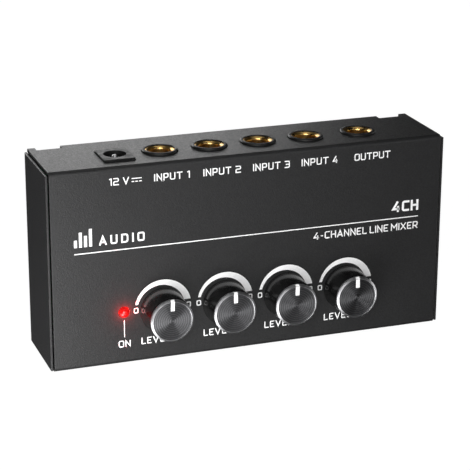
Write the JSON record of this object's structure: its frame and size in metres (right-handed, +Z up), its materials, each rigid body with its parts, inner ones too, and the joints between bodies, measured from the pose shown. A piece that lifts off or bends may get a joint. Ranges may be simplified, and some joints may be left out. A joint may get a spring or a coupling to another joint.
{
  "type": "mixing console",
  "caption": "Compact line mixer in a folded steel case with level knobs on the front, phone-plug sockets on top and a barrel power inlet.",
  "frame": {"origin": "centre of the flat underside that the case stands on", "axes": "+X along the case to the right as seen from the knobs, +Y from the control panel to the rear, +Z up, out of the sockets"},
  "size_m": [0.12, 0.0383, 0.0597],
  "materials": {
    "case_paint": "fine textured powder coat, charcoal",
    "foot_rubber": "matt",
    "screw_black": "black zinc",
    "pillar_metal": "plain turned",
    "board_green": "solder mask",
    "jack_plastic": "moulded black",
    "jack_gold": "polished gold plate",
    "contact_metal": "stamped",
    "pin_metal": "polished",
    "pot_metal": "stamped",
    "track_board": "phenolic laminate",
    "shaft_metal": "turned",
    "knob_black": "high gloss",
    "cap_metal": "spun face, bright bevel",
    "pointer_white": "painted line",
    "led_red": "lit red lens",
    "spacer_nylon": "natural nylon",
    "chip_black": "moulded",
    "can_sleeve": "shrink sleeve",
    "film_case": "moulded box",
    "resistor_body": "lacquered"
  },
  "bodies": {
    "root": {"front_shell": "case_paint", "rear_cover": "case_paint", "rubber_feet": "foot_rubber", "cover_screws": "screw_black", "front_pillars": "pillar_metal", "board_spacers": "pillar_metal", "circuit_board": "board_green", "input_jack_1_body": "jack_plastic", "input_jack_1_sleeve": "jack_gold", "input_jack_1_contacts": "contact_metal", "input_jack_2_body": "jack_plastic", "input_jack_2_sleeve": "jack_gold", "input_jack_2_contacts": "contact_metal", "input_jack_3_body": "jack_plastic", "input_jack_3_sleeve": "jack_gold", "input_jack_3_contacts": "contact_metal", "input_jack_4_body": "jack_plastic", "input_jack_4_sleeve": "jack_gold", "input_jack_4_contacts": "contact_metal", "output_jack_body": "jack_plastic", "output_jack_sleeve": "jack_gold", "output_jack_contacts": "contact_metal", "power_jack_body": "jack_plastic", "power_jack_pin": "pin_metal", "power_jack_contacts": "contact_metal", "level_pot_1_case": "pot_metal", "level_pot_1_track": "track_board", "level_pot_2_case": "pot_metal", "level_pot_2_track": "track_board", "level_pot_3_case": "pot_metal", "level_pot_3_track": "track_board", "level_pot_4_case": "pot_metal", "level_pot_4_track": "track_board", "power_led": "led_red", "led_leads": "contact_metal", "led_spacer": "spacer_nylon", "opamp_chips": "chip_black", "regulator": "chip_black", "electrolytic_capacitors": "can_sleeve", "film_capacitors": "film_case", "resistors": "resistor_body"},
    "level_1": {"level_pot_1_shaft": "shaft_metal", "level_knob_1": "knob_black", "level_knob_1_cap": "cap_metal", "level_knob_1_pointer": "pointer_white"},
    "level_2": {"level_pot_2_shaft": "shaft_metal", "level_knob_2": "knob_black", "level_knob_2_cap": "cap_metal", "level_knob_2_pointer": "pointer_white"},
    "level_3": {"level_pot_3_shaft": "shaft_metal", "level_knob_3": "knob_black", "level_knob_3_cap": "cap_metal", "level_knob_3_pointer": "pointer_white"},
    "level_4": {"level_pot_4_shaft": "shaft_metal", "level_knob_4": "knob_black", "level_knob_4_cap": "cap_metal", "level_knob_4_pointer": "pointer_white"}
  },
  "joints": [
    {"name": "level_1_turn", "type": "hinge", "parent": "root", "child": "level_1", "pos_m": [-0.027, -0.0127, 0.0152], "axis": [0, 1, 0], "range_deg": [-150, 150]},
    {"name": "level_2_turn", "type": "hinge", "parent": "root", "child": "level_2", "pos_m": [-0.0082, -0.0127, 0.0152], "axis": [0, 1, 0], "range_deg": [-150, 150]},
    {"name": "level_3_turn", "type": "hinge", "parent": "root", "child": "level_3", "pos_m": [0.0106, -0.0127, 0.0152], "axis": [0, 1, 0], "range_deg": [-150, 150]},
    {"name": "level_4_turn", "type": "hinge", "parent": "root", "child": "level_4", "pos_m": [0.0294, -0.0127, 0.0152], "axis": [0, 1, 0], "range_deg": [-150, 150]}
  ]
}
